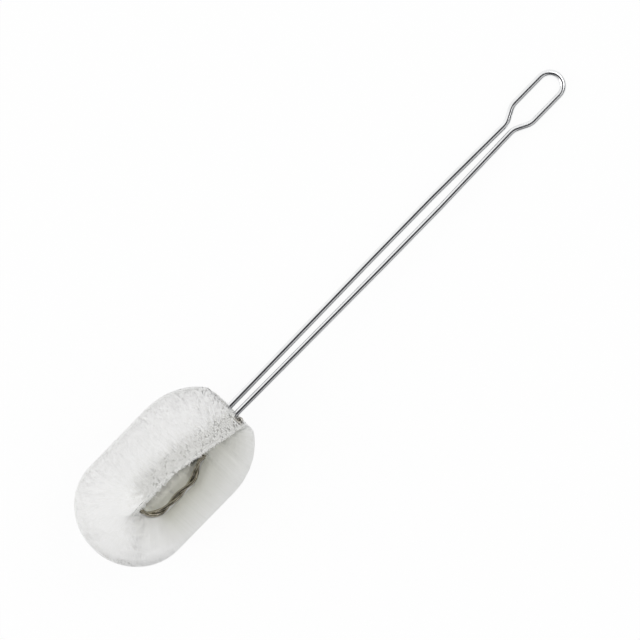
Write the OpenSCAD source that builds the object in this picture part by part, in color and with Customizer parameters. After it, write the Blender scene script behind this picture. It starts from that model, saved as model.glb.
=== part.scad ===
// Bottle brush: a soft white head on a bent-wire handle with a hanging eye.
// One handle wire is folded at the eye, and its two legs run into the head. In the head
// a twisted pair of thin wires clamps the filaments and is bent round in a slender loop,
// and a wound wire binds the loop's two ends to the legs.
// Lies on the plane z = 0, on the belly of the head and the tip of the eye. +Y runs along
// the handle to the eye, +X across, +Z up. The origin is under the middle of the part.

/* [Handle] */
// diameter of the handle wire
wire_d = 3.2; // [2:0.1:4.5]
// from the top of the head to the outside of the eye
handle_len = 222.8; // [140:0.1:320]
// distance between the centres of the two legs at the head
leg_spacing = 4.7; // [4.6:0.1:8]
// distance between the centres of the legs where they stand widest
leg_spread = 6.2; // [4.8:0.1:12]
// from the head to the start of the widest stretch
spread_start = 98; // [40:1:110]
// length of the widest stretch
spread_run = 38; // [10:1:60]
// distance between the centres of the legs at the neck
neck_spacing = 4.5; // [4:0.1:8]
// how far the legs run into the head
leg_in = 20; // [8:1:22]
// radius of the slight bends along the legs
leg_bend_r = 120; // [40:1:300]

/* [Hanging eye] */
// width of the eye between the centres of its two sides
eye_w = 12.5; // [10:0.1:24]
// from the neck to the outside of the eye
eye_len = 39.8; // [34:0.1:60]
// radius of the four bends that open the eye
flare_r = 8; // [5:0.5:12]
// how far the wire turns outwards as it leaves the neck, in degrees
flare_turn = 27; // [20:1:45]

/* [Twisted core] */
// diameter of each of the two strands
strand_d = 1.6; // [1:0.1:2]
// gap between the strands, filled by the clamped filaments
strand_gap = 0.12; // [0.05:0.01:0.3]
// length of one full twist
twist_pitch = 24; // [12:0.5:30]
// half width of the loop where its arms stand widest
loop_half_w = 9.6; // [8.5:0.1:12]
// half width of the loop where its arms draw in, just above that
waist_half_w = 4.9; // [4.5:0.1:6]
// from the top of the head to the narrowest place of the arms
waist_at = 25; // [24:1:28]
// from there to the place where the arms reach their full width
loop_open_len = 13; // [11:1:18]
// from the top of the head to the middle of the wire at the foot of the loop
loop_end = 64.2; // [58:0.1:72]
// how far the ends of the core stand above the top of the head
core_out = 1.2; // [1:0.1:4]

/* [Binding] */
// diameter of the binding wire
bind_d = 1.5; // [0.8:0.1:1.8]
// number of turns
bind_turns = 2.4; // [1:0.1:4]
// from the top of the head to the middle of the first turn
bind_depth = 5.4; // [2:0.1:8]

/* [Head] */
// width of the head across the handle
head_w = 57.6; // [50:0.1:72]
// length of the head
head_len = 92.4; // [86:0.1:110]
// how far the head sits to the lobe's side of the handle
head_side = 1; // [0:0.1:2]
// how far the head rises above the middle of the core
head_rise = 23; // [19:0.5:28]
// depth of the rounding at the end that the handle enters, as if it closed fully
top_round = 32.5; // [28:0.5:36]
// how much of that rounding the flat at the handle takes away
top_flat = 4.8; // [3:0.1:8]
// depth of the rounding at the far end
foot_round = 27.3; // [22:0.1:34]
// how far the upper lobe reaches past the middle beside the handle
lobe_reach = 7.8; // [4:0.1:9]
// how far the upper lobe reaches past the middle further down
lobe_edge = 0.5; // [-2:0.1:2]
// distance over which it draws back
lobe_taper = 38; // [30:1:44]
// how much further the lower lobe spreads under the weight of the head
lobe_press = 4; // [2:0.5:5]
// rise of the low side of the head above its middle sheet
fan_rise = 3; // [2:0.1:5]
// distance below the loop over which the low side rises to the high side
merge_run = 14; // [10:1:20]
// depth of the hollow inside the loop
slit_depth = 3.4; // [1:0.1:5]
// how deep the belly is flattened where the brush lies on it
rest_flat = 1.6; // [1:0.1:3]

/* [Fits] */
// clearance of the head round the wires that run into it
head_clear = 0.16; // [0.1:0.01:0.3]
// clearance of the binding round the wires that it holds
bind_clear = 0.1; // [0.05:0.01:0.2]

/* [Hidden] */
wire_r = wire_d / 2;
bind_r = bind_d / 2;
// the circle that the two twisted strands fill
core_r = strand_d + strand_gap / 2;
// the arms lie against the outsides of the legs
arm_half_w = leg_spacing / 2 + wire_r + core_r + bind_clear;

// the leg, as straights that each end in a bend: [length, bend radius, turn to +X]
neck_at = handle_len - eye_len;
splay = atan((leg_spread - leg_spacing) / 2 / spread_start);
gather_len = neck_at - spread_start - spread_run;
gather = atan((leg_spread - neck_spacing) / 2 / gather_len);
leg_start = [leg_spacing / 2 - leg_in * tan(splay), -leg_in, splay];
eye_r = eye_w / 2;
eye_mid = handle_len - wire_r - eye_r;
leg_down = [
    [(spread_start + leg_in) / cos(splay), leg_bend_r, -splay],
    [spread_run, leg_bend_r, -gather],
    [gather_len / cos(gather), flare_r, gather + flare_turn],
];
neck = pose(leg_down, leg_start, len(leg_down));
flare_len = (eye_r - neck[0] - flare_r * (1 - cos(flare_turn))) / sin(flare_turn);
leg_flare = concat(leg_down, [[flare_len, flare_r, -flare_turn]]);
shoulder = pose(leg_flare, leg_start, len(leg_flare));
leg_steps = concat(leg_flare, [[eye_mid - shoulder[1], 0, 0]]);

// a bend is a hair thinner than a straight, which reaches a little way over it
wire_step = 0.012;
wire_lap = 0.12;

// the core's middle line, measured along the wire from one end
loop_mid = loop_end - loop_half_w;
arm_len = core_out + loop_mid;
core_len = 2 * arm_len + PI * loop_half_w;
strand_step = 1;
strand_sides = 7;
strand_count = round(core_len / strand_step);
core_way_from = core_out + leg_in - 3;
core_way_count = 48;

// the head's outline
half_w = head_w / 2;
top_mid = top_round - top_flat;
foot_mid = head_len - foot_round;
rise_top = 1.05 * top_round;
rise_foot = 0.355 * head_len;
sheet_lean = 4;
lobe_power = 2.3;
wall_w = 1.3;

// the brush lies tipped on the flat of its belly and on the tip of the eye
rest_at = 22;
rest_depth = head_rise - rest_flat;
tip_y = handle_len - wire_r;
rest_arm = norm([tip_y + rest_at, rest_depth]);
rest_turn = atan(rest_depth / (tip_y + rest_at)) - asin(wire_r / rest_arm);
rest_lift = wire_r + tip_y * sin(rest_turn);
mid_y = (handle_len - head_len) / 2;

// ---- paths ----

// place and heading after n straights and bends; a heading of 0 looks along +Y
function pose(steps, from, n) = n == 0 ? from :
    bend_end(run_end(pose(steps, from, n - 1), steps[n - 1][0]),
        steps[n - 1][1], steps[n - 1][2]);

function run_end(p, l) = [p[0] + l * sin(p[2]), p[1] + l * cos(p[2]), p[2]];

function bend_end(p, r, a) = let(k = sign(a), h = p[2] + a)
    [p[0] + k * r * (cos(p[2]) - cos(h)), p[1] + k * r * (sin(h) - sin(p[2])), h];

// 0 before a, 1 after b, and smooth between
function ease(v, a, b) = let(t = min(max((v - a) / (b - a), 0), 1)) t * t * (3 - 2 * t);

function mix(a, b, t) = a + (b - a) * t;

// half width of the core's loop at depth s below the top of the head
function arm_x(s) = mix(mix(arm_half_w, waist_half_w, ease(s, leg_in - 2, waist_at + 2)),
    loop_half_w, ease(s, waist_at, waist_at + loop_open_len));

// the core's middle line at distance q from its right-hand end
function core_at(q) =
    q < arm_len ? let(s = q - core_out) [arm_x(s), -s, 0] :
    q > core_len - arm_len ? let(s = core_len - q - core_out) [-arm_x(s), -s, 0] :
    let(a = (q - arm_len) / loop_half_w * 180 / PI)
        [loop_half_w * cos(a), -loop_mid - loop_half_w * sin(a), 0];

function unit(v) = v / norm(v);

function core_dir(q) = unit(core_at(q + 0.05) - core_at(q - 0.05));

// a point on a strand, which circles the middle line
function strand_at(q, phase) = let(d = core_dir(q), a = 360 * q / twist_pitch + phase)
    core_at(q) + (strand_d + strand_gap) / 2 * (cos(a) * [-d[1], d[0], 0] + sin(a) * [0, 0, 1]);

// a point on the binding wire: turns round the row of legs and arms
bind_loop_r = core_r + bind_clear + bind_r;
bind_straight = 2 * arm_half_w;
bind_round = PI * bind_loop_r;
bind_turn_len = 2 * (bind_straight + bind_round);
bind_rise = bind_d + 0.1;
bind_steps = 32;
bind_sides = 8;
function bind_at(q) = let(
    t = q - bind_turn_len * floor(q / bind_turn_len),
    y = -bind_depth + bind_rise * q / bind_turn_len,
    a1 = (t - bind_straight) / bind_loop_r * 180 / PI,
    a2 = (t - 2 * bind_straight - bind_round) / bind_loop_r * 180 / PI)
    t < bind_straight ? [t - arm_half_w, y, bind_loop_r] :
    t < bind_straight + bind_round ?
        [arm_half_w + bind_loop_r * sin(a1), y, bind_loop_r * cos(a1)] :
    t < 2 * bind_straight + bind_round ?
        [arm_half_w - (t - bind_straight - bind_round), y, -bind_loop_r] :
        [-arm_half_w - bind_loop_r * sin(a2), y, -bind_loop_r * cos(a2)];

// ---- shared modules ----

// round wire through a list of points, as a ring of corners at each one; the path never
// runs along the vector "up", which keeps the rings from twisting
module swept_wire(points, r, sides, up = [0, 0, 1]) {
    n = len(points);
    rings = [for (i = [0:n - 1]) let(
        d = unit(points[min(i + 1, n - 1)] - points[max(i - 1, 0)]),
        flat = unit(cross(d, up)),
        other = cross(d, flat))
        for (k = [0:sides - 1]) let(a = 360 * k / sides)
            points[i] + r * (cos(a) * flat + sin(a) * other)];
    polyhedron(rings, concat(
        [[for (k = [0:sides - 1]) k]],
        [[for (k = [0:sides - 1]) n * sides - 1 - k]],
        [for (i = [0:n - 2], k = [0:sides - 1]) let(
            a = i * sides + k, b = i * sides + (k + 1) % sides)
            each [[a, a + sides, b], [b, a + sides, b + sides]]]));
}

// a straight of wire along +Y, which closes over the bend at its far end
module straight(l, d) translate([0, -wire_lap, 0]) rotate([-90, 0, 0])
    cylinder(d = d, h = l + 2 * wire_lap, $fn = 32);

// a bend that starts along +Y and turns to +X
module turn(r, a, d) translate([r, 0, 0]) rotate([0, 0, 180 - a]) arc(r, a, d);

module arc(r, a, d) rotate_extrude(angle = a, $fn = 180) translate([r, 0])
    circle(d = d - wire_step, $fn = 32);

module at(p) translate([p[0], p[1], 0]) rotate([0, 0, -p[2]]) children();

// lays the brush down from its drawing plane
module lay() translate([head_side, -mid_y, rest_lift]) rotate([-rest_turn, 0, 0]) children();

// ---- the pieces ----

module leg() for (i = [0:len(leg_steps) - 1]) {
    p = pose(leg_steps, leg_start, i);
    l = leg_steps[i][0];
    t = leg_steps[i][2];
    at(p) straight(l, wire_d);
    if (t != 0) at(run_end(p, l)) mirror([t < 0 ? 1 : 0, 0, 0])
        turn(leg_steps[i][1], abs(t), wire_d);
}

module handle_wire() color([0.78, 0.79, 0.8]) lay() {
    leg();
    mirror([1, 0, 0]) leg();
    translate([0, eye_mid, 0]) arc(eye_r, 180, wire_d);
}

module strand(phase) swept_wire(
    [for (i = [0:strand_count]) strand_at(core_len * i / strand_count, phase)],
    strand_d / 2, strand_sides);

module core_strand_a() color([0.62, 0.63, 0.64]) lay() strand(0);

module core_strand_b() color([0.62, 0.63, 0.64]) lay() strand(180);

module binding_wire() color([0.66, 0.67, 0.68]) lay() swept_wire(
    [for (i = [0:round(bind_steps * bind_turns)]) bind_at(bind_turn_len * i / bind_steps)],
    bind_r, bind_sides, [0, 1, 0]);

// outline of the head at depth s: half width, and rise of a lobe
function oval(s, mid_a, len_a, mid_b, len_b) =
    s < mid_a ? sqrt(1 - pow((mid_a - s) / len_a, 2)) :
    s > mid_b ? sqrt(max(1 - pow((s - mid_b) / len_b, 2), 0)) : 1;
function wide(s) = half_w * oval(s, top_mid, top_round, foot_mid, foot_round);
function rise(s) = head_rise * oval(s, top_mid, rise_top, head_len - rise_foot, rise_foot);

// where a lobe's inner edge lies across the head
function lobe_x(s, press) = lobe_edge
    + lobe_reach * pow(max(1 - s / lobe_taper, 0), 1.1) + press;

// how far the fan has risen to meet the lobe below the loop
function merge(s) = ease(s, loop_end - 1, loop_end + merge_run);

// distance from the loop's middle line, on its +X side, outwards positive
function off_loop(x, s) = s < loop_mid ? x - arm_x(max(s, 0)) :
    norm([x, s - loop_mid]) - loop_half_w;

// upper surface of the head, a high lobe on -X and a low fan on +X; "mid" is where the
// middle of the head lies across the handle
function face(x, s, press, mid) = let(
    e = min(abs(x - mid) / wide(s), 1),
    sheet = -sheet_lean * wide(s) / half_w * sign(x - mid) * pow(e, 3),
    m = merge(s),
    open = ease(s, waist_at - 6, waist_at + 1),
    off = off_loop(x, s),
    lobe = sheet + (rise(s) - sheet) * pow(1 - pow(e, lobe_power), 1 / lobe_power),
    clear_core = mix(1, ease(off, 0.5, 6), open),
    fan_top = mix(fan_rise * rise(s) / head_rise * clear_core, 0.92 * rise(s), m),
    dip = slit_depth * (1 - m) * open * (1 - ease(off, -core_r - 0.8, -0.2)),
    fan = sheet + fan_top * sqrt(1 - pow(e, 3)) - dip,
    edge = lobe_x(s, press),
    soft = mix(wall_w, 0.9 * half_w, ease(s, loop_end - 1, loop_end + merge_run - 2)))
    mix(lobe, fan, ease(x, edge - 0.4 * m * half_w, edge + soft));

// the surface the brush lies on, in the drawing plane
function rest_z(y) = (y * sin(rest_turn) - rest_lift) / cos(rest_turn) + 0.02;

// places across the head: over the lobe, down its edge, across the slit and core, over the fan
over_n = 11;
edge_n = over_n + 3;
slit_n = edge_n + 9;
cols = slit_n + 7;
function across(i, s, press, mid) = let(
    w = wide(s),
    edge = min(lobe_x(s, press), mid + 0.7 * w),
    brim = min(edge + wall_w, mid + 0.78 * w),
    far = min(loop_half_w + 3, mid + 0.9 * w))
    i <= over_n ? mix(mid - w, edge, sin(90 * i / over_n)) :
    i <= edge_n ? mix(edge, brim, (i - over_n) / (edge_n - over_n)) :
    i <= slit_n ? mix(brim, far, (i - edge_n) / (slit_n - edge_n)) :
    mix(far, mid + w, sin(90 * (i - slit_n) / (cols - slit_n)));

rows = 42;
function row_s(j) = mix(0, head_len - 0.15, 0.5 - 0.5 * cos(180 * pow(j / rows, 0.9)));
function head_ring(s) = [
    for (i = [0:cols]) let(x = across(i, s, 0, -head_side)) [x, -s, face(x, s, 0, -head_side)],
    for (i = [1:cols - 1]) let(x = across(i, s, lobe_press, head_side))
        [-x, -s, max(-face(x, s, lobe_press, head_side), rest_z(-s))],
];

module filament_body() {
    n = 2 * cols;
    polyhedron([for (j = [0:rows]) each head_ring(row_s(j))], concat(
        [[for (k = [0:n - 1]) n - 1 - k]],
        [[for (k = [0:n - 1]) rows * n + k]],
        [for (j = [0:rows - 1], k = [0:n - 1]) let(
            a = j * n + k, b = j * n + (k + 1) % n)
            each [[a, b, a + n], [b, b + n, a + n]]]));
}

// a flat slot or pocket round the row of legs and arms, down to depth s
module row_slot(r, s) hull() for (side = [-1, 1])
    translate([side * arm_half_w, 1, 0]) rotate([90, 0, 0]) cylinder(r = r, h = s + 1, $fn = 24);

module bristle_head() color([0.95, 0.95, 0.93]) lay() difference() {
    filament_body();
    swept_wire([for (i = [0:core_way_count]) core_at(mix(core_way_from, core_len - core_way_from,
        i / core_way_count))], (core_r + head_clear) / cos(18), 10);
    row_slot(core_r + 2 * head_clear, leg_in + 2 * head_clear);
    row_slot(bind_loop_r + bind_r + head_clear, bind_depth + bind_r + head_clear);
}

handle_wire();
core_strand_a();
core_strand_b();
binding_wire();
bristle_head();
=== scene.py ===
"""Bottle brush: a wire handle, a twisted core bent to a loop, and a soft head of white filament.

Shapes are worked out in millimetres in the brush's own plane, where the handle runs along +y,
the head hangs below y = 0 and z is up from the plane of the wires. A depth is a distance below
the top of the head, so y = -depth. lay() brings points to the world.
"""
import math

import bpy
import numpy as np
from mathutils import Matrix, Vector


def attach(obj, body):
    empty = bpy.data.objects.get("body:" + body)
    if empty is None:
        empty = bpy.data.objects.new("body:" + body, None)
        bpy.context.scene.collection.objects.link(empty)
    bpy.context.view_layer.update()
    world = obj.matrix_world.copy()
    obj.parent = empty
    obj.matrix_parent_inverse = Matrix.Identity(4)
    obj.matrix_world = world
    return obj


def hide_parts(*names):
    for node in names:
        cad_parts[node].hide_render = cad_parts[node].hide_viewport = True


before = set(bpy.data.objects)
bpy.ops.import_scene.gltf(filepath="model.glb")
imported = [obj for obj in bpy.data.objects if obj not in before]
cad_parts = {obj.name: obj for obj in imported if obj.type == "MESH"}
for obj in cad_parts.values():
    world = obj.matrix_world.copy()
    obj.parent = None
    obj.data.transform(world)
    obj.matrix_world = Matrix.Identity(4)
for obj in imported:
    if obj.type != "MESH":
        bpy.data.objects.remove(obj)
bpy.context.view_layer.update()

MM = 0.001
UP = np.array([0.0, 0.0, 1.0])

# ---- sizes, in millimetres, as in the part's source ----

# the handle: one wire with an eye at its far end, whose two legs run into the head
WIRE_R = 1.6
LEG_SPACING = 4.7
LEG_IN = 20.0
HANDLE_LEN = 222.8

# the core: two strands twisted together, with a waist below the legs and then a loop
STRAND_R = 0.8
STRAND_GAP = 0.12
TWIST_PITCH = 24.0
WAIST_HALF_W = 4.9
WAIST_AT = 25.0
LOOP_R = 9.6
LOOP_OPEN = 13.0
LOOP_END = 64.2
CORE_OUT = 1.2

# the binding, wound round the legs and the ends of the core
BIND_R = 0.75
BIND_TURNS = 2.4
BIND_DEPTH = 5.4
BIND_CLEAR = 0.1

# the head's outline, and how far the head sits to the lobe's side
HALF_W = 28.8
HEAD_LEN = 92.4
HEAD_SIDE = 1.0
HEAD_RISE = 23.0
TOP_ROUND = 32.5
TOP_FLAT = 4.8
FOOT_ROUND = 27.3

# the high lobe, the wall at its edge, and the low fan beside it with the slit in the loop
SHEET_LEAN = 4.0
LOBE_POWER = 2.3
LOBE_EDGE = 0.5
LOBE_REACH = 7.8
LOBE_TAPER = 38.0
LOBE_PRESS = 4.0
WALL_W = 1.3
FAN_RISE = 3.0
MERGE_RUN = 14.0
SLIT_DEPTH = 3.4

# the flat on which the head rests
REST_FLAT = 1.6
REST_AT = 22.0

# what follows from them
CORE_R = 2 * STRAND_R + STRAND_GAP / 2
STRAND_OFF = STRAND_R + STRAND_GAP / 2
ARM_HALF_W = LEG_SPACING / 2 + WIRE_R + CORE_R + BIND_CLEAR
LOOP_MID = LOOP_END - LOOP_R
ARM_LEN = CORE_OUT + LOOP_MID
CORE_LEN = 2 * ARM_LEN + math.pi * LOOP_R
BIND_LOOP_R = CORE_R + BIND_CLEAR + BIND_R
BIND_RISE = 2 * BIND_R + 0.1
TOP_MID = TOP_ROUND - TOP_FLAT
FOOT_MID = HEAD_LEN - FOOT_ROUND
RISE_TOP = 1.05 * TOP_ROUND
RISE_FOOT = 0.355 * HEAD_LEN

# how the brush lies on the table, on its head and on the tip of the handle
TIP_Y = HANDLE_LEN - WIRE_R
REST_DEPTH = HEAD_RISE - REST_FLAT
MID_Y = (HANDLE_LEN - HEAD_LEN) / 2
REST_TURN = math.atan(REST_DEPTH / (TIP_Y + REST_AT)) - math.asin(
    WIRE_R / math.hypot(TIP_Y + REST_AT, REST_DEPTH))
REST_LIFT = WIRE_R + TIP_Y * math.sin(REST_TURN)

# ---- sizes of the scene alone, in millimetres ----

# how deep in the head the core's strands end, at the turn that joins them and where they
# are cut
HAIRPIN_DEPTH = 0.56
CUT_DEPTH = 0.2

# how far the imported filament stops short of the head's top, and where across the top it stays
# open, so that the wires leave it through a dark hollow
TOP_SETBACK = 1.6
HOLLOW_FROM = 2.4
HOLLOW_TO = 8.2

# down to what depth the filaments at the top fan out upwards, held by the core below them,
# and how high the flat top stands on either side of the plane of the wires
TOP_FAN = 14.0
TOP_HALF_H = 13.6

# the first and the last depth at which the head's surface is worked out
NEAR_TOP = 0.02
NEAR_FOOT = HEAD_LEN - 0.02

# what stays free above the table, beneath the head and beneath its filaments' middle lines
TABLE_GAP = 0.02
FILAMENT_GAP = 0.32

# how many filaments stand on a square millimetre, or are on a whole side, where a side has
# its full share
CUT_ENDS_PER_MM2 = 23.0
LOBE_PER_MM2 = 2.9
WALL_COUNT = 1900
FAN_COUNT = 4200
SLIT_COUNT = 700
TOP_COUNT = 2600
FIRST_SEED = 11

# filaments' radii from root to tip: of cut ends, of the tips that show on the lobe and at the
# top, and at the two ends of the long ones
CUT_END_RADII = np.array([0.2, 0.2])
TIP_RADII = np.array([0.15, 0.15, 0.12])
WALL_RADII = (0.14, 0.12)
FAN_RADII = (0.13, 0.1)

# large whole numbers, which make the places of neighbouring tufts differ
SCATTER = np.array([73856093, 19349663, 83492791])

# how many points lie along the wires, and how many sides a wire has
STRAND_STEPS = 600
BIND_STEPS = 260
WIRE_SIDES = 14

# how much of its own roundness a filament shows in its shading
FILAMENT_ROUND = 0.2


# ---- the brush's own plane, and the world ----

def lay(points):
    """Points of the brush's plane, in millimetres, laid down in the world, in metres."""
    x, y, z = np.moveaxis(np.asarray(points, float), -1, 0)
    turn_cos, turn_sin = math.cos(REST_TURN), math.sin(REST_TURN)
    return MM * np.stack([x + HEAD_SIDE, y * turn_cos + z * turn_sin - MID_Y,
                          -y * turn_sin + z * turn_cos + REST_LIFT], -1)


def lay_directions(vectors):
    """Directions of the brush's plane, turned to the world's."""
    return (lay(vectors) - lay(np.zeros(3))) / MM


def rest_z(depth):
    """Height of the table in the brush's plane, with its gap."""
    return (-depth * math.sin(REST_TURN) - REST_LIFT) / math.cos(REST_TURN) + TABLE_GAP


def ease(value, start, end):
    """Rises smoothly from 0 at start to 1 at end."""
    t = np.clip((np.asarray(value, float) - start) / (end - start), 0.0, 1.0)
    return t * t * (3.0 - 2.0 * t)


def mix(first, second, share):
    return first + (second - first) * share


def unit(vectors):
    return vectors / np.maximum(np.linalg.norm(vectors, axis=-1, keepdims=True), 1e-9)


# ---- the wires' lines ----

def arm_x(depth):
    """Half width of the core's loop, above the loop's round end."""
    neck = mix(ARM_HALF_W, WAIST_HALF_W, ease(depth, LEG_IN - 2, WAIST_AT + 2))
    return mix(neck, LOOP_R, ease(depth, WAIST_AT, WAIST_AT + LOOP_OPEN))


def core_line(run):
    """The core's middle line at distances along it from its right-hand end."""
    down = run - CORE_OUT
    up = CORE_LEN - run - CORE_OUT
    turn = (run - ARM_LEN) / LOOP_R
    on_right, on_left = run < ARM_LEN, run > CORE_LEN - ARM_LEN
    x = np.where(on_right, arm_x(down),
                 np.where(on_left, -arm_x(up), LOOP_R * np.cos(turn)))
    y = np.where(on_right, -down, np.where(on_left, -up, -LOOP_MID - LOOP_R * np.sin(turn)))
    return np.stack([x, y, np.zeros_like(x)], -1)


def strand_way(run, phase):
    """How far a strand lies from the core's middle line, at distances along that."""
    heading = unit(core_line(run + 0.05) - core_line(run - 0.05))
    turn = (2 * math.pi * run / TWIST_PITCH + phase)[:, None]
    across = np.stack([-heading[:, 1], heading[:, 0], np.zeros_like(run)], -1)
    return STRAND_OFF * (np.cos(turn) * across + np.sin(turn) * UP)


def strand_line(phase):
    """One strand of the core, which circles its middle line."""
    run = np.linspace(CORE_OUT + HAIRPIN_DEPTH, CORE_LEN - CORE_OUT - CUT_DEPTH, STRAND_STEPS)
    return core_line(run) + strand_way(run, phase)


def hairpin():
    """The turn that joins the two strands at the right-hand end of the core."""
    run = np.array([CORE_OUT + HAIRPIN_DEPTH])
    across = strand_way(run, 0.0)
    out = np.array([[0.0, STRAND_OFF, 0.0]])
    turn = np.linspace(math.pi, 0.0, 24)[:-1, None]
    return core_line(run) + np.cos(turn) * across + np.sin(turn) * out


def binding_line():
    """The wire that is wound round the legs and the ends of the core, each turn of it across
    the front, round the right, across the back and round the left."""
    straight = 2 * ARM_HALF_W
    bend = math.pi * BIND_LOOP_R
    once = 2 * (straight + bend)
    run = np.linspace(0.0, once * BIND_TURNS, BIND_STEPS)
    t = run % once
    stages = [t < straight, t < straight + bend, t < 2 * straight + bend]
    right = (t - straight) / BIND_LOOP_R
    left = (t - 2 * straight - bend) / BIND_LOOP_R
    x = np.select(stages, [t - ARM_HALF_W, ARM_HALF_W + BIND_LOOP_R * np.sin(right),
                           ARM_HALF_W - (t - straight - bend)],
                  -ARM_HALF_W - BIND_LOOP_R * np.sin(left))
    z = np.select(stages, [np.full_like(t, BIND_LOOP_R), BIND_LOOP_R * np.cos(right),
                           np.full_like(t, -BIND_LOOP_R)], -BIND_LOOP_R * np.cos(left))
    return np.stack([x, -BIND_DEPTH + BIND_RISE * run / once, z], -1)


# ---- the head's envelope ----

def oval(depth, start, start_len, end, end_len):
    """1 from start to end, and down to 0 as a quarter of an oval before and after them."""
    before = np.sqrt(np.maximum(1 - ((start - depth) / start_len) ** 2, 0))
    after = np.sqrt(np.maximum(1 - ((depth - end) / end_len) ** 2, 0))
    return np.where(depth < start, before, np.where(depth > end, after, 1.0))


def head_wide(depth):
    """Half width of the head."""
    return HALF_W * oval(depth, TOP_MID, TOP_ROUND, FOOT_MID, FOOT_ROUND)


def head_rise(depth):
    """Height of the lobe's crest."""
    return HEAD_RISE * oval(depth, TOP_MID, RISE_TOP, HEAD_LEN - RISE_FOOT, RISE_FOOT)


def merged(depth):
    """How far the low side has risen to meet the lobe below the loop."""
    return ease(depth, LOOP_END - 1, LOOP_END + MERGE_RUN)


def past_loop(x, depth):
    """Distance from the loop's middle line on its +x side, outwards positive."""
    return np.where(depth < LOOP_MID, x - arm_x(np.maximum(depth, 0)),
                    np.hypot(x, depth - LOOP_MID) - LOOP_R)


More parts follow.
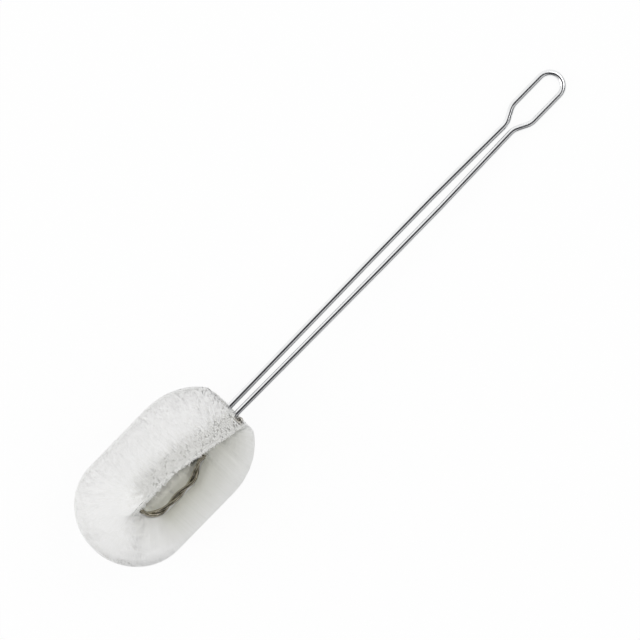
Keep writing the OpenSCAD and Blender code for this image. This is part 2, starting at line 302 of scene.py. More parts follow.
class Side:
    """One side of the head seen from its own front: the lobe on -x, the fan on +x, and
    heights counted outwards. turned() brings its points to the brush's plane."""

    def __init__(self, name, flip, press, share, swell, brim, foot, lift):
        """press moves the lobe's edge over. share and swell are how many filaments there are
        and how thick, and brim and foot how near they come to the outline, as a share of the
        width and as a distance. lift is how far their shading leans outwards."""
        self.name, self.flip, self.press = name, flip, press
        self.share, self.swell = share, swell
        self.brim, self.foot, self.lift = brim, HEAD_LEN - foot, lift
        self.lower = flip < 0
        self.middle = -flip * HEAD_SIDE

    def turned(self, vectors):
        """Points or directions of this side, in the brush's plane."""
        return vectors * np.array([self.flip, 1.0, self.flip])

    def placed(self, lines):
        """Filaments' lines brought to the brush's plane, and kept off the table."""
        lines = self.turned(lines)
        lines[..., 2] = np.maximum(lines[..., 2], rest_z(-lines[..., 1]) + FILAMENT_GAP)
        return lines

    def ridge(self, depth):
        """Where the lobe's inner edge lies across the head."""
        return LOBE_EDGE + LOBE_REACH * np.maximum(1 - depth / LOBE_TAPER, 0) ** 1.1 + self.press

    def height(self, x, depth):
        """Height of this side's surface: the lobe and the fan stand on a leaning sheet, and
        the wall between them softens to a slope below the loop."""
        wide, rise = head_wide(depth), head_rise(depth)
        off_middle = x - self.middle
        out = np.minimum(np.abs(off_middle) / np.maximum(wide, 1e-6), 1)
        sheet = -SHEET_LEAN * wide / HALF_W * np.sign(off_middle) * out ** 3
        lobe = sheet + (rise - sheet) * (1 - out ** LOBE_POWER) ** (1 / LOBE_POWER)
        merge = merged(depth)
        opened = ease(depth, WAIST_AT - 6, WAIST_AT + 1)
        off_core = past_loop(x, depth)
        bared = mix(1.0, ease(off_core, 0.5, 6), opened)
        fan_top = mix(FAN_RISE * rise / HEAD_RISE * bared, 0.92 * rise, merge)
        slit = SLIT_DEPTH * (1 - merge) * opened * (1 - ease(off_core, -CORE_R - 0.8, -0.2))
        fan = sheet + fan_top * np.sqrt(1 - out ** 3) - slit
        edge = self.ridge(depth)
        soft = mix(WALL_W, 0.9 * HALF_W, ease(depth, LOOP_END - 1, LOOP_END + MERGE_RUN - 2))
        level = mix(lobe, fan, ease(x, edge - 0.4 * merge * HALF_W, edge + soft))
        return np.minimum(level, -rest_z(depth)) if self.lower else level

    def normal(self, x, depth, reach):
        """Outward normal, evened out over a reach to each side."""
        across = self.height(x + reach, depth) - self.height(x - reach, depth)
        high = np.maximum(depth - reach, NEAR_TOP)
        low = np.minimum(depth + reach, NEAR_FOOT)
        down = self.height(x, low) - self.height(x, high)
        return unit(np.stack([-across / (2 * reach), down / (low - high),
                              np.ones_like(across)], -1))

    def facing(self, x, depth, reach=0.8):
        """The way packed filament faces the light: its surface's normal, lifted where it is
        seen end on."""
        on_fan = ease(x, self.ridge(depth), self.ridge(depth) + WALL_W) * (1 - merged(depth))
        normal = self.normal(x, depth, reach)
        lift = self.lift * mix(2.0, 0.4, on_fan)
        return unit(normal + normal[..., 2:] * lift[..., None] * UP)

    def inside(self, x, depth):
        """How far in from the brink of the wall a point lies."""
        return self.ridge(depth) + 0.5 - x

    def crest(self, x, depth, edge=0.1):
        """1 where the cut ends stand upright along the ridge, else 0."""
        inner = self.inside(x, depth)
        on_lobe = np.where(depth > LOOP_END + 6, 1.0, ease(inner, 0.4 - edge, 0.4 + edge))
        return on_lobe * (1 - ease(inner, 8, 19)) * (1 - ease(depth, 58, 70))

    def edge_crest(self, x, depth):
        """The same, and half as much again right at the brink."""
        return self.crest(x, depth) * (1 + 0.5 * (self.inside(x, depth) < 1.5))

    def low_side(self, x, depth):
        """0 where the lobe's filaments lie, 1 where the fan's long ones are seen."""
        edge, far_end = self.ridge(depth), merged(depth)
        return ease(x, edge - 0.4 + 3 * far_end, edge + 20 * far_end)

    def past_wall(self, x, depth):
        """x, moved out from under the lobe to the fan's side of the wall."""
        return np.maximum(x, self.ridge(depth) + WALL_W + 0.1)

    def grid(self, rows, cols):
        """Points of this side. Its rows go down the head, closest at the two ends, and its
        columns go across, closest by the wall and at the fan's rim."""
        t = np.linspace(0.0, 1.0, rows)
        depth = HEAD_LEN * mix(t, 0.5 - 0.5 * np.cos(math.pi * t), 0.75)
        depth = np.clip(depth, NEAR_TOP, NEAR_FOOT)[:, None]
        wide = head_wide(depth)
        edge = np.minimum(self.ridge(depth), self.middle + 0.7 * wide)
        brim = np.minimum(edge + WALL_W, self.middle + 0.78 * wide)
        n_lobe, n_wall = int(cols * 0.4), int(cols * 0.2)
        n_fan = cols - n_lobe - n_wall
        left, right = self.middle - wide, self.middle + wide
        lobe = left + (edge - left) * np.sin(np.linspace(0, math.pi / 2, n_lobe))[None, :]
        wall = edge + (brim - edge) * np.linspace(0, 1, n_wall + 1)[None, 1:]
        fan = brim + (right - brim) * np.sin(np.linspace(0, math.pi / 2, n_fan + 1))[None, 1:]
        x = np.concatenate([lobe, wall, fan], 1)
        depth = np.broadcast_to(depth, x.shape)
        return np.stack([x, -depth, self.height(x, depth)], -1)


# The side that the brush rests on is pressed over and has fewer filaments, drawn a little
# thicker. They stop short, so that the upper side's make the outline, and their shading leans
# outwards less, because outwards is away from the light.
UPPER = Side("upper", flip=1.0, press=0.0, share=1.0, swell=1.0, brim=0.998, foot=0.02, lift=1.0)
LOWER = Side("lower", flip=-1.0, press=LOBE_PRESS, share=0.66, swell=1.2, brim=0.994, foot=0.2,
             lift=0.2)


# ---- meshes ----

def add_mesh(name, points, faces, normals=None, chart=None):
    """A mesh from points in the brush's plane and an array of triangles. normals gives each
    point the way it faces the light, and chart gives each corner its place in the finish."""
    mesh = bpy.data.meshes.new(name)
    mesh.vertices.add(len(points))
    mesh.vertices.foreach_set("co", np.ascontiguousarray(lay(points), np.float32).ravel())
    mesh.loops.add(faces.size)
    mesh.loops.foreach_set("vertex_index", np.ascontiguousarray(faces, np.int32).ravel())
    mesh.polygons.add(len(faces))
    mesh.polygons.foreach_set("loop_start", np.arange(0, faces.size, 3, dtype=np.int32))
    mesh.polygons.foreach_set("use_smooth", np.ones(len(faces), bool))
    if chart is not None:
        layer = mesh.uv_layers.new(name="OFBake")
        layer.uv.foreach_set("vector", np.ascontiguousarray(chart, np.float32).ravel())
    mesh.update(calc_edges=True)
    if normals is not None:
        mesh.normals_split_custom_set_from_vertices(lay_directions(normals))
    piece = bpy.data.objects.new(name, mesh)
    bpy.context.scene.collection.objects.link(piece)
    return piece


def triangles(quads):
    """Two triangles for every row of four corners."""
    return np.concatenate([quads[:, [0, 1, 2]], quads[:, [0, 2, 3]]])


def turns(sides):
    """The turns at which a round bar's corners stand."""
    return np.arange(sides) * 2 * math.pi / sides


def ring_round(heading, flat, turn):
    """Directions round a heading, at turns from flat."""
    other = np.cross(heading, flat)
    return (np.cos(turn)[..., None] * flat[..., None, :]
            + np.sin(turn)[..., None] * other[..., None, :])


def drawn_wire(name, line, radius):
    """Round wire along a line of points, with rounded ends."""
    heading = unit(np.gradient(line, axis=0))
    flat = unit(np.cross(heading, UP) + 1e-6)
    ring = ring_round(heading, flat, turns(WIRE_SIDES))
    # one more ring at each end, narrower and a little out, and then a point
    out = 0.3
    narrow = 0.7
    line = np.concatenate([line[:1] - heading[:1] * radius * out, line,
                           line[-1:] + heading[-1:] * radius * out])
    ring = np.concatenate([ring[:1], ring, ring[-1:]])
    count = len(line)
    swell = np.ones(count)
    swell[[0, -1]] = narrow
    points = (line[:, None] + radius * swell[:, None, None] * ring).reshape(-1, 3)
    points = np.concatenate([points, line[:1] - (line[1:2] - line[:1]) * out,
                             line[-1:] + (line[-1:] - line[-2:-1]) * out])
    first = np.arange(WIRE_SIDES)
    last = (count - 1) * WIRE_SIDES + first
    row = np.arange(count - 1)[:, None] * WIRE_SIDES
    a = row + first[None, :]
    b = row + (first[None, :] + 1) % WIRE_SIDES
    sheet = np.stack([a, a + WIRE_SIDES, b + WIRE_SIDES, b], -1).reshape(-1, 4)
    tip = np.full(WIRE_SIDES, count * WIRE_SIDES)
    nose = np.stack([tip, first, np.roll(first, -1)], -1)
    tail = np.stack([tip + 1, np.roll(last, -1), last], -1)
    return add_mesh(name, points, np.concatenate([triangles(sheet), nose, tail]))


def filament_mesh(name, lines, radii, tone, facing, span):
    """Three-sided filaments. lines is (filaments, points, 3) and radii is (filaments, points).
    tone in 0..1 picks each filament's shade. span is the first and the last place on a filament
    that its line shows, from 0 at its root to 1 at its tip, and the first may differ from one
    to the next. Packed filament passes light on, so each is lit mostly as the surface that it
    lies in, which facing gives."""
    count, steps, _ = lines.shape
    sides = 3
    heading = unit(np.gradient(lines, axis=1))
    steep = np.abs(heading[:, :1, 2:]) > 0.8
    guide = np.where(steep, [[[1.0, 0.0, 0.0]]], [[UP]])
    flat = unit(np.cross(heading, np.broadcast_to(guide, heading.shape)))
    start = np.random.default_rng(7).uniform(0, 2 * math.pi, count)
    ring = ring_round(heading, flat, start[:, None, None] + turns(sides))
    points = lines[:, :, None] + radii[:, :, None, None] * ring
    facing = facing[:, None] if facing.ndim == 2 else facing
    normals = unit(facing[:, :, None] + FILAMENT_ROUND * ring)
    base = (np.arange(count) * steps * sides)[:, None, None]
    row = (np.arange(steps - 1) * sides)[None, :, None]
    corner = np.arange(sides)[None, None, :]
    a = base + row + corner
    b = base + row + (corner + 1) % sides
    low = np.stack([a, b, b + sides], -1)
    high = np.stack([a, b + sides, a + sides], -1)
    last = base[:, 0] + (steps - 1) * sides
    cap = np.concatenate([last, last + 1, last + 2], -1)
    faces = np.concatenate([low.reshape(-1, 3), high.reshape(-1, 3), cap])
    return add_mesh(name, points.reshape(-1, 3), faces, normals.reshape(-1, 3),
                    filament_chart(tone, span, count, steps, sides))


def filament_chart(tone, span, count, steps, sides):
    """Each filament's narrow upright column of the finish, root at the foot, tip at the top."""
    column = np.clip(tone, 0.0, 1.0) * 0.96 + 0.02
    left, right = column - 0.004, column + 0.004
    share = np.linspace(np.broadcast_to(span[0], count), span[1], steps, axis=1)

    def place(u, v):
        shape = (count, steps - 1, sides)
        return np.stack([np.broadcast_to(u[:, None, None], shape),
                         np.broadcast_to(v[:, :, None], shape)], -1)

    foot, head = share[:, :-1], share[:, 1:]
    low = np.stack([place(left, foot), place(right, foot), place(right, head)], -2)
    high = np.stack([place(left, foot), place(right, head), place(left, head)], -2)
    top = np.full(count, span[1])
    cap = np.stack([np.stack([left, top], -1), np.stack([right, top], -1),
                    np.stack([column, top + 0.01], -1)], -2)
    return np.concatenate([uv.reshape(-1, 2) for uv in (low, high, cap)])


# ---- finishes ----

BLACK = (0.0, 0.0, 0.0)
WHITE = (1.0, 1.0, 1.0)


class Flow:
    """What comes out of a node. Sums and products of it add the Math nodes they need."""

    def __init__(self, finish, socket):
        self.finish, self.socket = finish, socket

    def _math(self, operation, first, second):
        return self.finish.node("ShaderNodeMath", {"operation": operation}, {0: first, 1: second})

    def __add__(self, other):
        return self._math("ADD", self, other)

    def __radd__(self, other):
        return self._math("ADD", other, self)

    def __sub__(self, other):
        return self._math("SUBTRACT", self, other)

    def __rsub__(self, other):
        return self._math("SUBTRACT", other, self)

    def __mul__(self, other):
        return self._math("MULTIPLY", self, other)

    def __rmul__(self, other):
        return self._math("MULTIPLY", other, self)


def opaque(colour):
    """A colour as the sockets take it, or the flow of one."""
    return colour if isinstance(colour, Flow) else (*colour, 1.0)


class Finish:
    """The nodes of one material, or of the studio's surroundings."""

    def __init__(self, owner):
        owner.use_nodes = True
        self.owner, self.tree = owner, owner.node_tree
        self.tree.nodes.clear()

    def node(self, kind, settings=None, values=None, out=0):
        """Adds a node: its settings, or a ramp's stops, and then its sockets' values or links."""
        made = self.tree.nodes.new(kind)
        for key, setting in (settings or {}).items():
            if key == "stops":
                ramp = made.color_ramp
                while len(ramp.elements) < len(setting):
                    ramp.elements.new(0.5)
                for stop, (place, shade) in zip(ramp.elements, setting):
                    stop.position, stop.color = place, opaque(shade)
            else:
                setattr(made, key, setting)
        for key, value in (values or {}).items():
            if isinstance(value, Flow):
                self.tree.links.new(value.socket, made.inputs[key])
            else:
                made.inputs[key].default_value = value
        return Flow(self, made.outputs[out]) if made.outputs else None

    def ramp(self, factor, *stops):
        return self.node("ShaderNodeValToRGB", {"stops": stops}, {"Fac": factor})

    def blend(self, factor, first, second, kind="MIX"):
        return self.node("ShaderNodeMix", {"data_type": "RGBA", "blend_type": kind},
                         {0: factor, 6: opaque(first), 7: opaque(second)}, out=2)

    def noise(self, place, scale, detail, roughness, stretch=(1, 1, 1)):
        spread = self.node("ShaderNodeMapping", None, {"Vector": place, "Scale": stretch})
        return self.node("ShaderNodeTexNoise", None, {
            "Vector": spread, "Scale": scale, "Detail": detail, "Roughness": roughness})

    def place(self, output="Object"):
        return self.node("ShaderNodeTexCoord", out=output)

    def split(self, vector):
        """The x and the y of a vector."""
        x = self.node("ShaderNodeSeparateXYZ", None, {0: vector})
        return x, Flow(self, x.socket.node.outputs[1])

    def bump(self, height, strength, distance):
        return self.node("ShaderNodeBump", None, {
            "Height": height, "Strength": strength, "Distance": distance})

    def rays(self):
        """1 on the camera's own rays, and 1 on those that polished metal mirrors."""
        return [self.node("ShaderNodeLightPath", out=f"Is {kind} Ray")
                for kind in ("Camera", "Glossy")]

    def glow(self, kind, colour, strength=1.0):
        """An even light, from a surface or from the surroundings."""
        return self.node(kind, None, {"Color": opaque(colour), "Strength": strength})

    def either(self, factor, first, second):
        return self.node("ShaderNodeMixShader", None, {0: factor, 1: first, 2: second})

    def surface(self, **sockets):
        self.output(self.node("ShaderNodeBsdfPrincipled", None, {
            key.replace("_", " "): value for key, value in sockets.items()}))
        return self.owner

    def output(self, shader, target="ShaderNodeOutputMaterial"):
        self.node(target, None, {"Surface": shader})


def handle_steel():
    """Bright drawn wire: plated, with the faint long streaks of the die and a few dull spots."""
    f = Finish(bpy.data.materials.new("bright handle wire"))
    place = f.place()
    streaks = f.noise(place, 900, 2, 0.6, (1.0, 0.03, 1.0))
    spots = f.noise(place, 160, 4, 0.6)
    return f.surface(
        Base_Color=f.ramp(spots, (0.3, (0.80, 0.805, 0.81)), (0.7, (0.90, 0.905, 0.91))),
        Metallic=1.0,
        Roughness=0.06 + 0.09 * streaks,
        Normal=f.bump(streaks, 0.06, 0.0002))


def core_steel():
    """Bare drawn wire, duller, with a little grime in the lay of the strands, and browner
    where it lies deep in the head."""
    f = Finish(bpy.data.materials.new("core wire"))
    place = f.place()
    grime = f.noise(place, 420, 4, 0.65)
    streaks = f.noise(place, 1500, 2, 0.5)
    upper_tint = f.ramp(grime, (0.3, (0.29, 0.27, 0.23)), (0.7, (0.72, 0.705, 0.67)))
    deep_tint = f.ramp(grime, (0.3, (0.30, 0.268, 0.195)), (0.7, (0.73, 0.685, 0.57)))
    # the browner tint comes on between 5 and 30 mm below the head's top
    _, along = f.split(place)
    deep = f.ramp(-40.0 * along - 2.8, (0.0, BLACK), (1.0, WHITE))
    return f.surface(
        Base_Color=f.blend(deep, upper_tint, deep_tint),
        Metallic=1.0,
        Roughness=0.06 + 0.14 * grime,
        Normal=f.bump(streaks, 0.1, 0.0002))


def filament(name, root):
    """White filament. The chart gives each one its shade across, and its root and tip upwards,
    where root is how much of each colour is left at the root. That is painted shade: each
    filament is darker and warmer towards its root, where packed filament shades itself."""
    f = Finish(bpy.data.materials.new(name))
    across, up = f.split(f.node("ShaderNodeUVMap", {"uv_map": "OFBake"}))
    shade = f.ramp(across, (0.1, (0.80, 0.81, 0.78)), (0.3, (0.95, 0.95, 0.945)),
                   (1.0, (0.98, 0.98, 0.98)))
    return f.surface(
        Base_Color=f.blend(up, f.blend(1.0, shade, root, "MULTIPLY"), shade),
        Roughness=0.5 + 0.1 * up,
        Specular_IOR_Level=0.3)


def under_filament():
    """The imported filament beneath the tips, seen only in the gaps between them."""
    f = Finish(bpy.data.materials.new("packed filament"))
    strands = f.noise(f.place(), 2200, 2, 0.6, (0.25, 1.0, 1.0))
    return f.surface(
        Base_Color=f.ramp(strands, (0.35, (0.90, 0.90, 0.885)), (0.65, (0.96, 0.96, 0.955))),
        Roughness=0.6 + 0.2 * strands,
        Specular_IOR_Level=0.2,
        Normal=f.bump(strands, 0.15, 0.0004))


# ---- the head ----

def packed_sheet(side, other):
    """One side of the body beneath the tips, deepest where the cut ends stand in tufts, and
    drawn back from both of the head's ends. Gives its points and the way it faces."""
    end_run = 12
    points = side.grid(110, 130)
    x, y, z = np.moveaxis(points, -1, 0)
    thick = z + other.height(-x, -y)
    tufted = side.crest(x, -y, 1.2) ** 6 * (1 - ease(-y, 48, 60))
    drop = np.minimum(0.13 + 0.5 * side.low_side(x, -y) + 0.9 * tufted, 0.4 * thick)
    points = points - side.normal(x, -y, 0.5) * drop[..., None]
    narrow = np.maximum(1 - 0.25 / np.maximum(head_wide(-y), 1e-6), 0.2)
    points[..., 0] = side.middle + (points[..., 0] - side.middle) * narrow
    points[..., 1] += (0.5 * np.maximum(1 - (HEAD_LEN + y) / end_run, 0)
                       - TOP_SETBACK * np.maximum(1 + y / end_run, 0))
    return side.turned(points), side.turned(side.facing(x, -y))


def packed_body():
    """A closed body a little inside the tips, so that nothing shows through between them."""
    above, above_facing = packed_sheet(UPPER, LOWER)
    below, below_facing = (part[:, ::-1] for part in packed_sheet(LOWER, UPPER))
    rows, cols = above.shape[:2]
    count = rows * cols
    a = np.arange(rows - 1)[:, None] * cols + np.arange(cols - 1)[None, :]
    upper = triangles(np.stack([a, a + cols, a + cols + 1, a + 1], -1).reshape(-1, 4))
    lower = upper[:, ::-1] + count
    left = np.arange(rows - 1) * cols
    right = left + cols - 1
    first = np.arange(cols - 1)
    last = (rows - 1) * cols + first

    def seam(p, q):
        return triangles(np.stack([p, q, q + count, p + count], -1))

    faces = np.concatenate([upper, lower, seam(left + cols, left), seam(right, right + cols),
                            seam(first, first + 1), seam(last + 1, last)])
    return add_mesh("packed_filament", np.concatenate([above, below]).reshape(-1, 3), faces,
                    np.concatenate([above_facing, below_facing]).reshape(-1, 3))


def spread(side, density, rng, weight):
    """Places spread evenly over a side of the head, where weight lets them be."""
    grid = side.grid(160, 240)
    a, b, c, d = grid[:-1, :-1], grid[1:, :-1], grid[1:, 1:], grid[:-1, 1:]
    corners = np.concatenate([np.stack([a, b, c], -2).reshape(-1, 3, 3),
                              np.stack([a, c, d], -2).reshape(-1, 3, 3)])
    area = np.linalg.norm(np.cross(corners[:, 1] - corners[:, 0],
                                   corners[:, 2] - corners[:, 0]), axis=1) / 2
    middle = corners.mean(1)
    share = area * weight(middle[:, 0], -middle[:, 1])
    total = int(share.sum() * density * side.share)
    tri = corners[rng.choice(len(share), total, p=share / share.sum())]
    r1, r2 = np.sqrt(rng.random((total, 1))), rng.random((total, 1))
    return (1 - r1) * tri[:, 0] + r1 * (1 - r2) * tri[:, 1] + r1 * r2 * tri[:, 2]


def held_at(x, depth, across):
    """Where on the core a filament that ends here is held. across is -1 or 1, for the arm of
    the loop on that side."""
    low = depth + 0.5 * np.maximum(TOP_FAN - depth, 0)
    turn = np.arctan2(np.maximum(depth - LOOP_MID, 1e-3), x)
    straight = np.stack([across * arm_x(low), -low, np.zeros_like(x)], -1)
    bend = np.stack([LOOP_R * np.cos(turn), -LOOP_MID - LOOP_R * np.sin(turn),
                     np.zeros_like(x)], -1)
    return np.where((depth < LOOP_MID)[:, None], straight, bend)


def combed(x, depth):
    """The way a filament lies over: straight out from the core, and fanned out round its end
    and at the head's top."""
    out = x - 8 * (1 - ease(depth, 40, LOOP_MID))
    down = (np.where(depth > LOOP_MID, LOOP_MID - depth, 0.0)
            + 0.9 * np.maximum(TOP_FAN - depth, 0))
    return unit(np.stack([out, down, np.zeros_like(x)], -1))


def tufts(points, cell, pull):
    """Draws the tips of neighbouring filaments together, in tufts about a cell wide. Gives
    the tips, and a number in 0..1 for the tuft of each."""
    key = np.floor(points / cell).astype(np.int64)
    mixed = np.bitwise_xor.reduce(key * SCATTER, axis=1)
    jitter = np.stack([((mixed * m) % 1009) / 1009.0 for m in (7, 13, 29)], -1)
    heart = (key + 0.15 + 0.7 * jitter) * cell
    return points + (heart - points) * pull, ((mixed * 31) % 997) / 997.0


def clear(side, tips):
    """True where a tip is off the wires, off the table and out of the hollow at the hairpin."""
    x, y, z = np.moveaxis(side.turned(tips), -1, 0)
    in_row = (np.abs(x) < ARM_HALF_W + CORE_R) & (np.abs(z) < CORE_R + 0.3) & (y > -LEG_IN)
    in_hollow = (y > -TOP_SETBACK) & (x > HOLLOW_FROM) & (x < HOLLOW_TO) & (z > -CORE_R)
    return ~in_row & ~in_hollow & (z > rest_z(-y) + 0.1)


def lying(side, tips, way, length, sink):
    """Filaments that follow the surface from a sunken root to a tip that lies on it."""
    left = np.linspace(1.0, 0.0, 3)[None, :, None]
    back = left * (way * length)[:, None]
    x, depth = tips[:, :1] - back[..., 0], -tips[:, 1:2] + back[..., 1]
    depth = np.clip(depth, NEAR_TOP, side.foot)
    wide = 0.998 * head_wide(depth)
    x = np.clip(x, side.middle - wide, side.middle + wide)
    lines = np.stack([x, -depth, side.height(x, depth)], -1)
    return lines - side.normal(x, depth, 0.8) * (sink[..., None] + 0.5 * left ** 3)


def tapered(side, radii, count, steps):
    """The radii of filaments that thin out evenly from root to tip."""
    return side.swell * np.broadcast_to(np.linspace(*radii, steps), (count, steps))


def add_filaments(side, kind, lines, radii, tone, facing, span, keep=slice(None)):
    """The piece that one kind of filament makes on one side, with those that keep picks."""
    return filament_mesh(f"{side.name}_{kind}", side.placed(lines[keep]), radii[keep],
                         tone[keep], side.turned(facing[keep]), span)


def cut_ends(side, rng):
    """The cut ends along the ridge of the lobe, upright and in tufts."""
    tips = spread(side, CUT_ENDS_PER_MM2, rng, side.edge_crest)
    count = len(tips)
    x, depth = tips[:, 0], -tips[:, 1]
    normal = side.normal(x, depth, 0.6)
    facing = side.facing(np.minimum(x, side.ridge(depth) - 0.5), depth, 0.4)
    radial = unit(tips - held_at(x, depth, -1.0))
    combed_over = combed(x, depth) * (0.8 * (1 - side.crest(x, depth)))[:, None]
    heading = unit(radial + [0.0, 0.0, 0.8] + combed_over + rng.normal(0, 0.16, tips.shape))
    tips, tuft = tufts(tips, 0.95, 0.18)
    # one tuft in eight or so has sunk in
    sink = 0.05 + 0.25 * rng.random(count) + 0.8 * (tuft < 0.12)
    tips = tips - normal * sink[:, None]
    on_edge = side.ridge(depth) - x < 1.2
    tips[:, 0] += on_edge * rng.normal(0.3, 0.4, count)
    facing[:, 0] += 1.5 * on_edge * side.lower
    lines = np.stack([tips - heading * rng.uniform(2.4, 3.2, (count, 1)), tips], 1)
    radii = side.swell * CUT_END_RADII * rng.uniform(0.8, 1.3, (count, 1))
    # each tuft's shade follows its number, so the sunk tufts take the darkest, greyest shades:
    # painted shade in their hollows, over a tone that differs at random
    tone = 0.3 * rng.random(count) + 0.7 * tuft
    return add_filaments(side, "cut_ends", lines, radii, tone, unit(facing), (0.38, 0.72),
                         clear(side, tips))


def wall_filaments(side, rng):
    """The filaments that stand up from the core along the lobe's inner wall."""
    count, steps = int(WALL_COUNT * side.share), 4
    depth = rng.uniform(1.0, LOOP_END + 4, (count, 1))
    foot = rng.uniform(0.25, 0.95, (count, 1))
    share = foot - np.linspace(0, 1, steps)[None, :] * rng.uniform(0.25, 0.4, (count, 1))
    depth = depth + rng.normal(0, 0.8, (count, 1)) * (foot - share)
    x = side.ridge(depth) + np.maximum(share, 0.02) * WALL_W
    z = side.height(x, depth)
    lines = np.stack([x - 0.05 - 0.2 * rng.random((count, 1)), -depth, z], -1)
    facing = unit(np.broadcast_to([1.0, 0.0, 0.5], lines.shape))
    keep = clear(side, lines[:, 0]) & clear(side, lines[:, -1])
    return add_filaments(side, "wall_filaments", lines, tapered(side, WALL_RADII, count, steps),
                         rng.random(count), facing, (0.2, 0.9), keep)


def lobe_filaments(side, rng):
    """The filaments of the lobe, combed over outwards, and those round the far end."""

    def weight(x, depth):
        steep = 1 + 0.5 * (1 - side.normal(x, depth, 0.8)[..., 2])
        return (1 - side.low_side(x, depth)) * (1 - side.crest(x, depth)) ** 0.5 * steep

    tips = spread(side, LOBE_PER_MM2, rng, weight)
    count = len(tips)
    x, depth = tips[:, 0], -tips[:, 1]
    normal = side.normal(x, depth, 0.8)
    way = unit(combed(x, depth) + rng.normal(0, 0.05, tips.shape) * [1, 1, 0])
    length = rng.uniform(5.0, 7.0, (count, 1)) * np.maximum(normal[:, 2:], 0.15) ** 1.4
    length *= 1 - 0.6 * side.crest(x, depth)[:, None]
    lines = lying(side, tips, way, length, rng.uniform(0.0, 0.08, (count, 1)))
    radii = side.swell * TIP_RADII * rng.uniform(0.9, 1.1, (count, 1))
    return add_filaments(side, "lobe_filaments", lines, radii, rng.uniform(0.3, 1, count),
                         side.facing(lines[..., 0], -lines[..., 1]), (0.7, 0.98),
                         clear(side, tips))


def head_outline(side):
    """The head's outline from beside the legs, down its +x side and round to the other side
    of its foot, as points (x, depth) with the distance along it of each."""
    down = HEAD_LEN * (0.5 - 0.5 * np.cos(math.pi * np.linspace(0.0, 1.0, 700)))
    down = np.clip(down, NEAR_TOP, NEAR_FOOT)
    right = np.stack([side.middle + head_wide(down), down], -1)
    left = np.stack([side.middle - head_wide(down), down], -1)[::-1]
    top = np.stack([np.linspace(ARM_HALF_W + 2.0, right[0, 0], 40), np.full(40, NEAR_TOP)], -1)
    outline = np.concatenate([top, right, left[left[:, 0] > -6]])
    gaps = np.linalg.norm(np.diff(outline, axis=0), axis=1)
    return outline, np.concatenate([[0], np.cumsum(gaps)])


def fan_filaments(side, rng):
    """The filaments that lie out flat from the core on the low side, and round the far end."""
    outline, run = head_outline(side)
    at = rng.uniform(0, run[-1], int(FAN_COUNT * side.share))
    # they thin out towards the outline's end
    at = at[run[-1] - at > 22 * rng.random(len(at))]
    count, steps = len(at), 7
    x_out, d_out = np.interp(at, run, outline[:, 0]), np.interp(at, run, outline[:, 1])
    ends = np.stack([x_out, -d_out, np.zeros(count)], -1)
    root = held_at(x_out, d_out, 1.0)
    bare = ease(-root[:, 1], WAIST_AT - 4, WAIST_AT + 1)
    length = np.linalg.norm(ends - root, axis=1)
    start = (mix(-4.5, 1.9, bare) / np.maximum(length, 1))[:, None]
    reach = side.brim - np.abs(rng.normal(0, 0.01, (count, 1)))
    share = start + np.linspace(0, 1, steps)[None, :] ** 1.15 * (reach - start)
    line = mix(root[:, None], ends[:, None], share[..., None])
    across = unit(np.stack([root[:, 1] - ends[:, 1], ends[:, 0] - root[:, 0]], -1))
    line[..., :2] += (rng.normal(0, 0.6, (count, 1)) * share ** 2)[..., None] * across[:, None]
    depth = np.clip(-line[..., 1], NEAR_TOP, NEAR_FOOT)
    wide = side.brim * head_wide(depth)
    x = np.clip(line[..., 0], side.middle - wide, side.middle + wide)
    # near the ridge the surface climbs, and a filament passes under it
    over = np.where((depth < LOOP_END) & (x > 0), side.past_wall(x, depth), x)
    z = side.height(over, depth)
    under = (x < side.ridge(depth)) & (depth > LOOP_MID)
    z = np.where(under, z * ease(share - start, 0.0, 0.5), z)
    z = z - 0.02 - 0.22 * rng.random((count, 1))
    # beside the loop the fan's filaments take the lower, greyer shades and show their darkened
    # roots, and round the far end the whiter ones: painted shade where the lobe shades the fan
    far_end = ease(d_out, LOOP_END - 8, LOOP_END + 12)
    tone = mix(rng.uniform(0.18, 0.27, count), rng.uniform(0.3, 1.0, count), far_end)
    return add_filaments(side, "fan_filaments", np.stack([x, -depth, z], -1),
                         tapered(side, FAN_RADII, count, steps), tone,
                         side.facing(over, depth, 2.0 + 3.0 * merged(depth)),
                         (0.02 + 0.7 * far_end, 0.98))


def slit_filaments(side, rng):
    """The filaments pressed flat inside the loop, from its bare arm to under the lobe."""
    count, steps = int(SLIT_COUNT * side.share), 4
    depth = rng.uniform(WAIST_AT - 3, LOOP_END - CORE_R - 0.3, (count, 1))
    turn = np.sqrt(np.maximum(LOOP_R ** 2 - np.maximum(depth - LOOP_MID, 0) ** 2, 0.1))
    start = np.where(depth < LOOP_MID, arm_x(depth), turn) - 0.9
    share = np.linspace(0, 1, steps)[None, :] * rng.uniform(0.7, 1.0, (count, 1))
    x = mix(start, side.ridge(depth) - 1.5, share)
    depth = depth + (start - x) * rng.normal(0.12, 0.16, (count, 1))
    depth = np.minimum(depth, LOOP_END - CORE_R)
    over = side.past_wall(x, depth)
    z = side.height(over, depth) - rng.uniform(0.0, 0.2, (count, 1))
    return add_filaments(side, "slit_filaments", np.stack([x, -depth, z], -1),
                         tapered(side, WALL_RADII, count, steps), rng.uniform(0.25, 1, count),
                         side.facing(over, depth, 2.0), (0.45, 0.65))


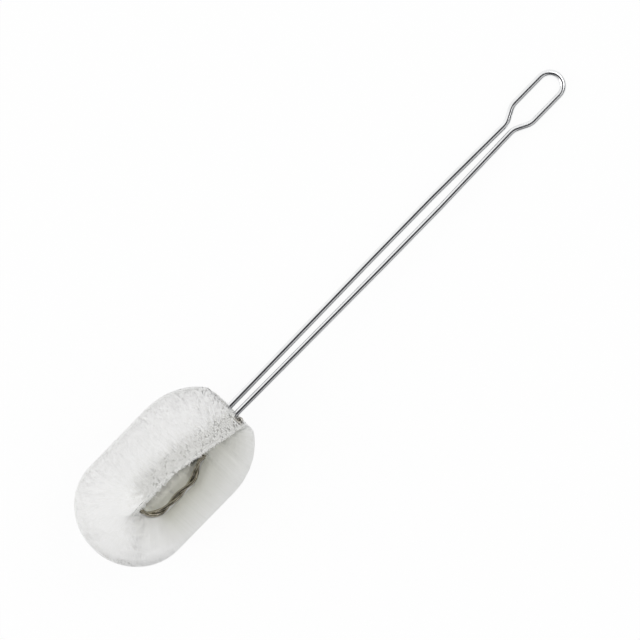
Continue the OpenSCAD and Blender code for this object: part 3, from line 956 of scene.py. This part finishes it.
def end_filaments(side, rng):
    """The cut ends on the flat of the head, where the handle enters it."""
    depth = np.full(TOP_COUNT, NEAR_TOP)
    x = side.middle + head_wide(depth) * rng.uniform(-0.99, 0.99, TOP_COUNT)
    z = TOP_HALF_H * rng.random(TOP_COUNT)
    keep = z < side.height(x, depth) - 0.1
    x, z = x[keep], z[keep]
    count = len(x)
    out = unit(np.stack([x, np.full(count, TOP_FAN), z], -1) + rng.normal(0, 1.2, (count, 3)))
    tips = np.stack([x, rng.normal(-0.35, 0.3, count), z], -1)
    base = tips - out * rng.uniform(2.4, 3.2, (count, 1))
    lines = np.stack([base, mix(base, tips, 0.5), tips], 1)
    radii = TIP_RADII * rng.uniform(0.85, 1.15, (count, 1))
    facing = unit(out * [1.0, 1.0, 0.3] + 1.2 * side.flip * UP)
    return add_filaments(side, "end_filaments", lines, radii, rng.random(count), facing,
                         (0.6, 0.98), clear(side, tips))


# ---- making the pieces ----

def make_wires():
    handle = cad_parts["handle_wire"]
    handle.data.materials.clear()
    handle.data.materials.append(handle_steel())
    steel = core_steel()
    folded = np.concatenate([hairpin(), strand_line(0.0)])
    pieces = [("core_strand_a", "core_strand_a_wire", folded, STRAND_R),
              ("core_strand_b", "core_strand_b_wire", strand_line(math.pi), STRAND_R),
              ("binding_wire", "binding_turns", binding_line(), BIND_R)]
    for node, name, line, radius in pieces:
        piece = drawn_wire(name, line, radius)
        piece.data.materials.append(steel)
        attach(piece, "root")
        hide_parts(node)


def make_head():
    body = packed_body()
    body.data.materials.append(under_filament())
    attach(body, "root")
    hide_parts("bristle_head")
    # the white filament's roots are painted darker and warmer, as painted shade deep among packed
    # filament
    white = filament("white filament", (0.72, 0.715, 0.64))
    # the slit's filaments are painted yellower and less dark at the root: painted warm light, for
    # the light that the filaments scatter into the shaded slit
    warm_lit_filament = filament("filament by the core", (0.93, 0.915, 0.75))
    makers = [(cut_ends, white), (wall_filaments, white), (lobe_filaments, white),
              (fan_filaments, white), (slit_filaments, warm_lit_filament), (end_filaments, white)]
    seed = FIRST_SEED
    for maker, finish in makers:
        for side in (UPPER, LOWER):
            piece = maker(side, np.random.default_rng(seed))
            piece.data.materials.append(finish)
            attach(piece, "root")
            seed += 1


# ---- the studio, in metres ----

def make_stage():
    """A white floor, which the camera and polished metal see as plain light."""
    reach = 3
    mesh = bpy.data.meshes.new("floor")
    mesh.from_pydata([(-reach, -reach, 0), (reach, -reach, 0), (reach, reach, 0),
                      (-reach, reach, 0)], [], [(0, 1, 2, 3)])
    floor = bpy.data.objects.new("floor", mesh)
    bpy.context.scene.collection.objects.link(floor)
    f = Finish(bpy.data.materials.new("white sweep"))
    seen, mirrored = f.rays()
    paint = f.node("ShaderNodeBsdfDiffuse", None, {"Color": opaque((0.9, 0.9, 0.9))})
    glow = f.glow("ShaderNodeEmission", WHITE)
    f.output(f.either(0.93 * (seen + mirrored), paint, glow))
    mesh.materials.append(f.owner)


def make_light():
    """Soft light from all round, and three lamps. Polished wire mirrors a dark patch overhead
    between walls that are brightest on the left."""
    world = bpy.data.worlds.new("studio")
    bpy.context.scene.world = world
    f = Finish(world)
    seen, mirrored = f.rays()
    x, y = f.split(f.place("Generated"))
    off_x, off_y = (x - 0.12) * 1.5, y * 1.7
    off_patch = off_x * off_x + off_y * off_y
    walls = f.ramp(0.5 + 0.5 * x, (0.3, WHITE), (0.7, (0.22, 0.225, 0.23)))
    room = f.blend(f.ramp(off_patch, (0.75, BLACK), (1.1, WHITE)), (0.05, 0.05, 0.055), walls)
    background = "ShaderNodeBackground"
    lit = f.either(mirrored, f.glow(background, WHITE, 0.69), f.glow(background, room))
    f.output(f.either(seen, lit, f.glow(background, WHITE)), "ShaderNodeOutputWorld")

    def softbox(name, place, size, power):
        lamp = bpy.data.lights.new(name, "AREA")
        lamp.shape, lamp.size, lamp.size_y, lamp.energy = "RECTANGLE", size, size, power
        held = bpy.data.objects.new(name, lamp)
        held.location = place
        aim = Vector((0, -0.06, 0.02)) - Vector(place)
        held.rotation_euler = aim.to_track_quat("-Z", "Y").to_euler()
        bpy.context.scene.collection.objects.link(held)

    softbox("key", (-0.7, -0.85, 0.75), 0.9, 4.8)
    softbox("fill", (0.9, 0.3, 0.9), 0.8, 1.0)
    softbox("back", (0.1, 0.85, 1.0), 0.8, 3.6)


def make_camera():
    """Looks straight down on the plane of the wires, with the brush on the view's diagonal.
    Its sizes are in millimetres."""
    distance, view_w, film_w = 950.0, 302.7, 36.0
    aim = np.array([-0.36, 59.85, 0.0])
    right, up, back = np.array([[0.7152, 0.6989, 0], [-0.6989, 0.7152, 0], [0, 0, 1.0]])
    axes = [lay_directions(v) for v in (right, up, back)]
    place = lay(aim + back * distance)
    camera = bpy.data.cameras.new("camera")
    camera.sensor_width = film_w
    camera.lens = film_w * distance / view_w
    held = bpy.data.objects.new("camera", camera)
    held.matrix_world = Matrix.Translation(place) @ Matrix(axes).transposed().to_4x4()
    bpy.context.scene.collection.objects.link(held)
    bpy.context.scene.camera = held


make_camera()
make_stage()
make_light()
make_wires()
make_head()
bpy.context.scene.view_settings.view_transform = "Standard"
